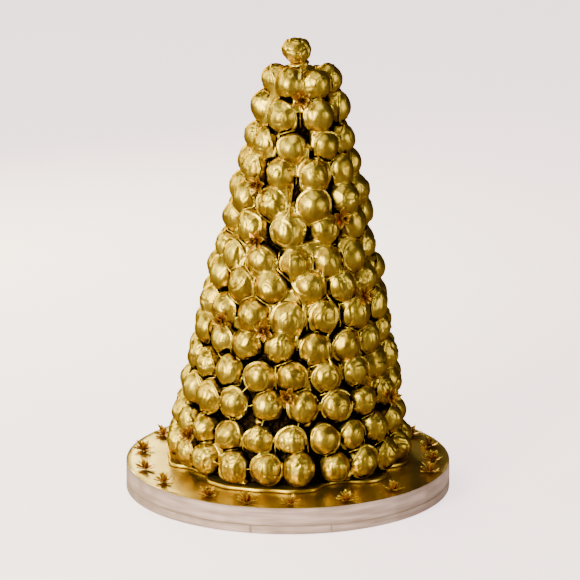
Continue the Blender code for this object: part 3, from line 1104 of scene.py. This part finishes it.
def unwrap_band(mesh, low):
    """UVs in metres: along the ribbon and across it."""
    layer = mesh.uv_layers.new(name="along_band")
    for polygon in mesh.polygons:
        middle = math.atan2(polygon.center.x, -polygon.center.y)
        for corner in polygon.loop_indices:
            spot = mesh.vertices[mesh.loops[corner].vertex_index].co
            angle = math.atan2(spot.x, -spot.y)
            if angle - middle > math.pi:
                angle -= math.tau
            if middle - angle > math.pi:
                angle += math.tau
            layer.data[corner].uv = (angle * DRUM_RADIUS, spot.z - low)


def make_ribbon(name, node, seams, slack, band_darkening, material):
    """A satin band round the drum; seams are the bearings where one length laps over the next."""
    low, high = (corner.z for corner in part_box(node))
    band = stacked_rings(name, RIBBON_SIDES, RIBBON_RINGS)
    stain_and_shade = []
    for vertex in band.data.vertices:
        bearing = math.atan2(vertex.co.x, -vertex.co.y)
        share = vertex.co.z / (RIBBON_RINGS - 1)
        ring = noise(np.array([[4 * math.sin(bearing) + 9, 4 * math.cos(bearing), low * 900]]))[0]
        fine = noise(np.array([[14 * math.sin(bearing), 14 * math.cos(bearing) + 7, low * 500 + share]]))[0]
        radius = RIBBON_INNER - 0.15 * MM + (0.10 + 0.10 * ring[0]) * MM * math.sin(math.pi * share)
        # painted shade: darker towards the band's two sides as seen from the front, more on the left, on top
        # of the noise's real staining and the darkening given for each band
        darkened = band_darkening + 0.25 * fine[2] + 0.5 * math.sin(bearing) ** 2 - 0.2 * math.sin(bearing)
        for seam in seams:
            past = (math.degrees(bearing) - seam) % 360
            radius += RIBBON_LAP * math.exp(-past / 5) if past < 40 else 0
            darkened += 0.8 if past > 359.3 else 0
        # painted shade along the band's top and bottom edges
        stain_and_shade.append(darkened + 0.5 * (2 * share - 1) ** 8)
        edge = slack * (ring[1] + 0.6 * fine[1] - 1) + RIBBON_EASE
        height = low + share * (high - low) + edge * (share - 0.5) * 2
        spot = direction(bearing) * (radius + 0.05 * MM * fine[0])
        vertex.co = (spot.x, spot.y, height)
    add_point_values(band.data, "stain_and_shade", np.clip(stain_and_shade, 0, 1))
    select_only(band)
    bpy.ops.object.mode_set(mode="EDIT")
    bpy.ops.mesh.select_all(action="SELECT")
    bpy.ops.mesh.normals_make_consistent(inside=False)
    bpy.ops.object.mode_set(mode="OBJECT")
    apply_modifier(band, "SOLIDIFY", thickness=RIBBON_THICKNESS, offset=1.0, use_even_offset=True)
    unwrap_band(band.data, low)
    shade_smooth(band, 40)
    dress(band, "white_satin", material, node)


# ---------------------------------------------------------------- the small flowers

PETALS = 6
SPREAD_REACH = 13.0 * MM
SPREAD_RISE = 2.6 * MM
CUP_RADIUS = 7.2 * MM
CUP_HEIGHT = 13.2 * MM
PETAL_THICKNESS = 0.45 * MM


def petal(name, length, width, bend, blush):
    """One petal. bend gives (reach, rise) at a share of the length, blush its copper at root and tip."""
    deselect()
    bpy.ops.mesh.primitive_grid_add(x_subdivisions=4, y_subdivisions=7, size=1)
    leaf = bpy.context.object
    leaf.name = name
    copper = []
    for vertex in leaf.data.vertices:
        across = vertex.co.x * 2
        share = vertex.co.y + 0.5
        half = width / 2 * (0.25 + 0.95 * math.sin(math.pi * share ** 0.95)) * (1 - share ** 8 * 0.8)
        reach, rise = bend(share)
        lift = (abs(across) ** 1.4) * 0.32 * half + 0.05 * length * math.sin(5 * share) * across
        copper.append(blush[0] + (blush[1] - blush[0]) * share + 0.25 * (1 - abs(across)) - 0.1)
        vertex.co = (reach, across * half, rise + lift)
    add_point_values(leaf.data, "copper", np.clip(copper, 0, 1))
    apply_modifier(leaf, "SOLIDIFY", thickness=PETAL_THICKNESS, offset=0.0)
    apply_modifier(leaf, "SUBSURF", levels=1, render_levels=1)
    return leaf


def low_bend(share):
    """A spread petal: out along the board, dipping and then turning up at its tip."""
    return 1.2 * MM + (SPREAD_REACH - 1.2 * MM) * share, 0.5 * MM + SPREAD_RISE * share ** 2.2


def upright_bend(share):
    """A cupped petal: up from the throat, then rolled outwards."""
    reach = 1.6 * MM + (CUP_RADIUS - 1.6 * MM) * (0.55 * share + 0.45 * share ** 3)
    return reach, 0.8 * MM + (CUP_HEIGHT - 1.2 * MM) * share ** 0.9


def throat():
    """The swollen heart of the flower, with its stamens."""
    deselect()
    bpy.ops.mesh.primitive_uv_sphere_add(segments=12, ring_count=8, radius=2.4 * MM,
                                         location=(0, 0, 1.9 * MM))
    heart = bpy.context.object
    bpy.ops.object.transform_apply(location=True, rotation=False, scale=False)
    for vertex in heart.data.vertices:
        vertex.co.z = max(vertex.co.z * 0.9, 0.15 * MM)
    parts = [heart]
    for k in range(5):
        splay = Matrix.Rotation(math.radians(16 + 5 * (k % 2)), 4, "Y")
        turn = Matrix.Rotation(math.tau * k / 5 + 0.3, 4, "Z") @ splay
        deselect()
        bpy.ops.mesh.primitive_cone_add(vertices=6, radius1=0.42 * MM, radius2=0.26 * MM, depth=6.4 * MM,
                                        location=(0, 0, 4.8 * MM))
        stalk = bpy.context.object
        bpy.ops.mesh.primitive_ico_sphere_add(subdivisions=2, radius=0.75 * MM, location=(0, 0, 8.2 * MM))
        head = bpy.context.object
        head.scale = (0.8, 1.3, 0.8)
        for part in (stalk, head):
            select_only(part)
            bpy.ops.object.transform_apply(location=True, rotation=False, scale=True)
            part.data.transform(turn)
            parts.append(part)
    centre = join(parts, "throat")
    add_point_values(centre.data, "copper", np.full(len(centre.data.vertices), 1.0))
    return centre


def flower_place(node, axis):
    """The matrix that puts a flower where its solid is, one low petal over one of its points."""
    spots = np.unique(np.round(coordinates(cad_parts[node].data), 6), axis=0)
    axis = np.array(axis)
    along = spots @ axis
    middle = spots.mean(0)
    centre = middle - axis * (middle @ axis) + axis * along.min()
    flat = spots - centre - np.outer(along - along.min(), axis)
    tip = flat[np.argmax(np.linalg.norm(flat, axis=1))]
    tip /= np.linalg.norm(tip)
    place = Matrix((tip, np.cross(axis, tip), axis)).transposed().to_4x4()
    return Matrix.Translation(Vector(centre)) @ place


def make_flower(node, axis, patterns, draw, material):
    """A flower of six low petals, six upright ones and a heart, no two alike."""
    low, upright, heart = patterns
    parts = [copy_of(heart)]
    for k in range(PETALS):
        turn = math.tau * k / PETALS + draw.uniform(-0.12, 0.12)
        size = draw.uniform(0.9, 1.0)
        tilt = Matrix.Rotation(math.radians(draw.uniform(-9, 2)), 4, "Y")
        parts.append(copy_of(low, Matrix.Rotation(turn, 4, "Z") @ tilt @ Matrix.Scale(size, 4)))
        turn += math.pi / PETALS + draw.uniform(-0.15, 0.15)
        size = draw.uniform(0.7, 1.0)
        tilt = Matrix.Rotation(math.radians(draw.uniform(-10, 14)), 4, "Y")
        parts.append(copy_of(upright, Matrix.Rotation(turn, 4, "Z") @ tilt @ Matrix.Scale(size, 4)))
    flower = join(parts, node.replace("flower", "lily"))
    copper = flower.data.attributes["copper"].data
    values = np.empty(len(copper), np.float32)
    copper.foreach_get("value", values)
    redder = draw.uniform(-0.08, 0.08) + (0.04 if node.startswith("tower") else 0)
    copper.foreach_set("value", np.clip(values + redder, 0, 1).astype(np.float32))
    flower.data.transform(flower_place(node, axis))
    shade_smooth(flower)
    dress(flower, "copper_gilt", material, node)


def make_flowers(material):
    draw = random.Random(LOOKS_SEED)
    patterns = (
        petal("low_petal", SPREAD_REACH, 6.0 * MM, low_bend, (0.72, 0.16)),
        petal("upright_petal", CUP_HEIGHT, 5.6 * MM, upright_bend, (0.70, 0.02)),
        throat(),
    )
    for node in sorted(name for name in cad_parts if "flower" in name):
        axis = Vector((0, 0, 1))
        if node.startswith("tower"):
            low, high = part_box(node)
            middle = (low + high) / 2
            outward = (middle - axis_at(middle.z)) * Vector((1, 1, 0))
            axis = outward.normalized() * math.cos(SLOPE) + Vector((0, 0, math.sin(SLOPE)))
        make_flower(node, axis, patterns, draw, material)
    remove(*patterns)


# ---------------------------------------------------------------- materials

def new_material(name):
    """A material with only its Principled BSDF and output, and that shader."""
    material = bpy.data.materials.new(name)
    material.use_nodes = True
    return material, material.node_tree, material.node_tree.nodes["Principled BSDF"]


def attribute_value(tree, name):
    node = tree.nodes.new("ShaderNodeAttribute")
    node.attribute_name = name
    return node.outputs["Fac"]


def ramp(tree, value, stops):
    """Colours at positions along a value."""
    node = tree.nodes.new("ShaderNodeValToRGB")
    elements = node.color_ramp.elements
    while len(elements) < len(stops):
        elements.new(0.5)
    for element, (position, colour) in zip(elements, stops):
        element.position = position
        element.color = (*colour, 1)
    tree.links.new(value, node.inputs["Fac"])
    return node.outputs["Color"]


def mix(tree, share, first, second):
    """A colour mix; share, first and second are sockets or values."""
    node = tree.nodes.new("ShaderNodeMix")
    node.data_type = "RGBA"
    for name, value in (("Factor", share), ("A", first), ("B", second)):
        socket = next(s for s in node.inputs if s.name == name and s.enabled)
        if isinstance(value, bpy.types.NodeSocket):
            tree.links.new(value, socket)
        elif isinstance(value, tuple):
            socket.default_value = (*value, 1)
        else:
            socket.default_value = value
    return next(s for s in node.outputs if s.name == "Result" and s.enabled)


def map_range(tree, value, source, target):
    node = tree.nodes.new("ShaderNodeMapRange")
    tree.links.new(value, node.inputs["Value"])
    for name, number in zip(("From Min", "From Max", "To Min", "To Max"), (*source, *target)):
        node.inputs[name].default_value = number
    return node.outputs["Result"]


def noise_value(tree, scale, detail):
    """Noise on Object coordinates, in cycles to the metre."""
    place = tree.nodes.new("ShaderNodeTexCoord")
    texture = tree.nodes.new("ShaderNodeTexNoise")
    texture.inputs["Scale"].default_value = scale
    texture.inputs["Detail"].default_value = detail
    tree.links.new(place.outputs["Object"], texture.inputs["Vector"])
    return texture.outputs["Fac"]


def make_grain_group():
    """Clouded tone and fine grain on Object coordinates, shared by every finish but the satin."""
    group = bpy.data.node_groups.new("clouds_and_grain", "ShaderNodeTree")
    for name in ("Cloud Scale", "Grain Scale", "Fine Scale", "Fine Share"):
        group.interface.new_socket(name, in_out="INPUT", socket_type="NodeSocketFloat")
    for name in ("Cloud", "Grain"):
        group.interface.new_socket(name, in_out="OUTPUT", socket_type="NodeSocketFloat")
    given = group.nodes.new("NodeGroupInput")
    result = group.nodes.new("NodeGroupOutput")
    place = group.nodes.new("ShaderNodeTexCoord")
    values = []
    for name, detail in (("Cloud Scale", 4), ("Grain Scale", 4), ("Fine Scale", 2)):
        texture = group.nodes.new("ShaderNodeTexNoise")
        texture.inputs["Detail"].default_value = detail
        group.links.new(place.outputs["Object"], texture.inputs["Vector"])
        group.links.new(given.outputs[name], texture.inputs["Scale"])
        values.append(texture.outputs["Fac"])
    grain = mix(group, given.outputs["Fine Share"], values[1], values[2])
    group.links.new(values[0], result.inputs["Cloud"])
    group.links.new(grain, result.inputs["Grain"])
    return group


def clouds_and_grain(tree, cloud, grain, fine, fine_share):
    """Places the shared group with a finish's own scales; returns its cloud and its grain."""
    node = tree.nodes.new("ShaderNodeGroup")
    node.node_tree = grain_group
    names = ("Cloud Scale", "Grain Scale", "Fine Scale", "Fine Share")
    for name, value in zip(names, (cloud, grain, fine, fine_share)):
        node.inputs[name].default_value = value
    return node.outputs["Cloud"], node.outputs["Grain"]


def bump(tree, shader, height, distance):
    node = tree.nodes.new("ShaderNodeBump")
    node.inputs["Distance"].default_value = distance
    node.inputs["Strength"].default_value = 1
    tree.links.new(height, node.inputs["Height"])
    tree.links.new(node.outputs["Normal"], shader.inputs["Normal"])


PALE_GOLD = (0.86, 0.655, 0.095)
GOLD = (0.70, 0.51, 0.064)
DEEP_GOLD = (0.50, 0.335, 0.033)
COPPER = (0.20, 0.085, 0.013)
# near-black, painted as the shade in the gaps
GAP_SHADE = (0.007, 0.0038, 0.0014)
SLANT_TINT = (0.34, 0.21, 0.06)    # of the gilding where it is seen at a slant


def make_gilt_glaze():
    material, tree, shader = new_material("gilt_glaze")
    cloud, grain = clouds_and_grain(tree, 55, 420, 1500, 0.35)
    tone = mix(tree, attribute_value(tree, "tone"), GOLD, PALE_GOLD)
    gold = mix(tree, map_range(tree, cloud, (0.35, 0.7), (0, 1)), DEEP_GOLD, tone)
    # painted highlight: the raised rims and runs of glaze are paled towards the palest gold
    gold = mix(tree, map_range(tree, attribute_value(tree, "rim"), (0, 1), (0, 0.6)), gold, PALE_GOLD)
    gilt_and_shade = attribute_value(tree, "gilt_and_shade")
    patchy = mix(tree, 0.12, gilt_and_shade, noise_value(tree, 260, 4))
    # where the gilding value is low the colour runs through copper to near-black: painted shade in the gaps,
    # crevices and under the low buns, with some ungilded crust
    shown = ramp(tree, patchy, ((0.16, (0, 0, 0)), (0.60, (1, 1, 1))))
    under = ramp(tree, patchy, ((0.14, GAP_SHADE), (0.46, COPPER)))
    tree.links.new(mix(tree, shown, under, gold), shader.inputs["Base Color"])
    shader.inputs["Specular Tint"].default_value = (*SLANT_TINT, 1)
    shader.inputs["Metallic"].default_value = 1
    rough = map_range(tree, noise_value(tree, 140, 5), (0.3, 0.7), (0.29, 0.42))
    tree.links.new(rough, shader.inputs["Roughness"])
    bump(tree, shader, grain, 0.24 * MM)
    return material


FOIL_TONES = ((0.46, 0.315, 0.055), (0.66, 0.49, 0.11))
FOIL_COAT = (1.0, 0.88, 0.55)


def make_gold_foil():
    material, tree, shader = new_material("gold_foil")
    cloud, grain = clouds_and_grain(tree, 24, 90, 900, 0.55)
    cloud = map_range(tree, cloud, (0.35, 0.7), (0, 1))
    tree.links.new(mix(tree, cloud, *FOIL_TONES), shader.inputs["Base Color"])
    shader.inputs["Metallic"].default_value = 1
    rough = map_range(tree, grain, (0.3, 0.7), (0.28, 0.38))
    tree.links.new(rough, shader.inputs["Roughness"])
    shader.inputs["Coat Weight"].default_value = 0.3
    shader.inputs["Coat Roughness"].default_value = 0.16
    shader.inputs["Coat Tint"].default_value = (*FOIL_COAT, 1)
    cells = tree.nodes.new("ShaderNodeTexVoronoi")
    cells.inputs["Scale"].default_value = 620
    place = tree.nodes.new("ShaderNodeTexCoord")
    tree.links.new(place.outputs["Object"], cells.inputs["Vector"])
    emboss = mix(tree, 0.45, cells.outputs["Distance"], grain)
    bump(tree, shader, emboss, 0.16 * MM)
    return material


PETAL_TONES = (                    # along the copper value, from the petals' tips to the heart
    (0.20, (0.66, 0.46, 0.05)), (0.40, (0.50, 0.28, 0.020)), (0.58, (0.34, 0.120, 0.010)),
    (0.84, (0.07, 0.018, 0.004)),
)


def make_copper_gilt():
    material, tree, shader = new_material("copper_gilt")
    cloud, grain = clouds_and_grain(tree, 330, 500, 1300, 0.4)
    blotch = mix(tree, 0.3, attribute_value(tree, "copper"), cloud)
    tree.links.new(ramp(tree, blotch, PETAL_TONES), shader.inputs["Base Color"])
    shader.inputs["Metallic"].default_value = 0.85
    tree.links.new(map_range(tree, grain, (0.3, 0.7), (0.24, 0.42)), shader.inputs["Roughness"])
    bump(tree, shader, grain, 0.12 * MM)
    return material


SATIN_TONES = ((0.38, (0.42, 0.28, 0.27)), (0.62, (0.70, 0.50, 0.485)))
STAINED_SHADED_SATIN = (0.26, 0.18, 0.145)


def make_satin():
    """Woven satin: fine threads along the band, with a soft sheen, darker where it is stained and where
    shade is painted on.
    """
    material, tree, shader = new_material("white_satin")
    place = tree.nodes.new("ShaderNodeUVMap")
    place.uv_map = "along_band"
    values = []
    for stretch in ((120, 2600, 1), (14, 160, 1)):
        mapping = tree.nodes.new("ShaderNodeMapping")
        mapping.inputs["Scale"].default_value = stretch
        texture = tree.nodes.new("ShaderNodeTexNoise")
        texture.inputs["Scale"].default_value = 1
        texture.inputs["Detail"].default_value = 2
        tree.links.new(place.outputs["UV"], mapping.inputs["Vector"])
        tree.links.new(mapping.outputs["Vector"], texture.inputs["Vector"])
        values.append(texture.outputs["Fac"])
    shade = ramp(tree, values[1], SATIN_TONES)
    # darkened by the band's painted shade and real stains
    shade = mix(tree, attribute_value(tree, "stain_and_shade"), shade, STAINED_SHADED_SATIN)
    tree.links.new(shade, shader.inputs["Base Color"])
    rough = map_range(tree, values[1], (0.3, 0.7), (0.40, 0.52))
    tree.links.new(rough, shader.inputs["Roughness"])
    shader.inputs["Sheen Weight"].default_value = 0.1
    bump(tree, shader, values[0], 0.05 * MM)
    return material


PAPER_TONES = ((0.3, (0.70, 0.67, 0.63)), (0.7, (0.80, 0.78, 0.74)))


def make_paper():
    material, tree, shader = new_material("base_paper")
    cloud, grain = clouds_and_grain(tree, 60, 700, 1400, 0.5)
    shade = ramp(tree, cloud, PAPER_TONES)
    tree.links.new(shade, shader.inputs["Base Color"])
    shader.inputs["Roughness"].default_value = 0.75
    bump(tree, shader, grain, 0.05 * MM)
    return material


# ---------------------------------------------------------------- stage, lights and camera

CAMERA_ELEVATION = math.radians(17.1)
CAMERA_DISTANCE = 15.0
CAMERA_LENS = 847.7
VIEW_RISE = 185.2 * MM             # from the middle of the drum's top up to the picture's middle
VIEW_CENTRE = Vector((2.3 * MM, VIEW_RISE * math.sin(CAMERA_ELEVATION),
                      DRUM_TOP + VIEW_RISE * math.cos(CAMERA_ELEVATION)))


def make_camera():
    camera = bpy.data.cameras.new("camera")
    camera.lens = CAMERA_LENS
    camera.sensor_width = 36
    camera.clip_end = 60
    view = bpy.data.objects.new("camera", camera)
    bpy.context.scene.collection.objects.link(view)
    sight = Vector((0, math.cos(CAMERA_ELEVATION), -math.sin(CAMERA_ELEVATION)))
    view.location = VIEW_CENTRE - sight * CAMERA_DISTANCE
    view.rotation_euler = (math.pi / 2 - CAMERA_ELEVATION, 0, 0)
    bpy.context.scene.camera = view


def add_light(name, bearing, elevation, distance, size, power, colour):
    """A soft box that faces the tower's middle."""
    light = bpy.data.lights.new(name, "AREA")
    light.shape = "RECTANGLE"
    light.size, light.size_y = size
    light.energy = power
    light.color = colour
    lamp = bpy.data.objects.new(name, light)
    lamp.visible_camera = False
    bpy.context.scene.collection.objects.link(lamp)
    middle = Vector((0, 0, 0.24))
    turn = direction(math.radians(bearing)) * math.cos(math.radians(elevation))
    lamp.location = middle + (turn + Vector((0, 0, math.sin(math.radians(elevation))))) * distance
    lamp.rotation_euler = (middle - lamp.location).to_track_quat("-Z", "Y").to_euler()


def make_lights():
    add_light("key", -37, 20, 2.1, (0.9, 1.5), 88, (1.0, 0.94, 0.68))
    add_light("fill", 58, 10, 2.4, (1.0, 1.3), 19, (1.0, 0.91, 0.66))
    add_light("top", -20, 80, 1.9, (1.0, 1.0), 12, (1.0, 0.95, 0.74))
    add_light("wing", -96, 22, 2.1, (1.2, 1.6), 34, (1.0, 0.94, 0.70))
    add_light("back", -156, 17, 1.2, (0.7, 0.5), 17, (1.0, 0.92, 0.50))


def make_world():
    """Pale all round, but dim to what mirrors it, as a studio's dark side is."""
    world = bpy.data.worlds.new("studio")
    bpy.context.scene.world = world
    world.use_nodes = True
    tree = world.node_tree
    path = tree.nodes.new("ShaderNodeLightPath")
    shade = mix(tree, path.outputs["Is Glossy Ray"], (0.34, 0.32, 0.32), (0.034, 0.025, 0.014))
    shade = mix(tree, path.outputs["Is Camera Ray"], shade, (0.93, 0.89, 0.885))
    tree.links.new(shade, tree.nodes["Background"].inputs["Color"])


def make_floor():
    deselect()
    bpy.ops.mesh.primitive_plane_add(size=24)
    floor = bpy.context.object
    floor.name = "floor"
    material, tree, shader = new_material("floor")
    shade = ramp(tree, noise_value(tree, 3, 2), ((0.3, (0.84, 0.80, 0.795)), (0.7, (0.86, 0.82, 0.815))))
    path = tree.nodes.new("ShaderNodeLightPath")
    shade = mix(tree, path.outputs["Is Glossy Ray"], shade, (0.16, 0.12, 0.085))
    tree.links.new(shade, shader.inputs["Base Color"])
    shader.inputs["Roughness"].default_value = 0.9
    shader.inputs["Emission Color"].default_value = (1.0, 0.78, 0.81, 1)
    glow = map_range(tree, path.outputs["Is Camera Ray"], (0, 1), (0, 2.4))
    tree.links.new(glow, shader.inputs["Emission Strength"])
    floor.data.materials.append(material)


buns = Buns(bun_places())
make_camera()
make_lights()
make_world()
make_floor()
grain_group = make_grain_group()
gilt = make_gilt_glaze()
satin = make_satin()
make_glazed_tower(gilt)
make_threads(gilt)
make_webs(gilt)
make_top_bun(gilt)
make_pool(gilt)
make_foil_drum(make_gold_foil())
make_base_paper(make_paper())
make_ribbon("upper_ribbon", "ribbon", (176,), 0.05 * MM, 0.04, satin)
make_ribbon("lower_ribbon", "ribbon_lower", (-13, 16, 150), 0.15 * MM, 0.22, satin)
make_flowers(make_copper_gilt())
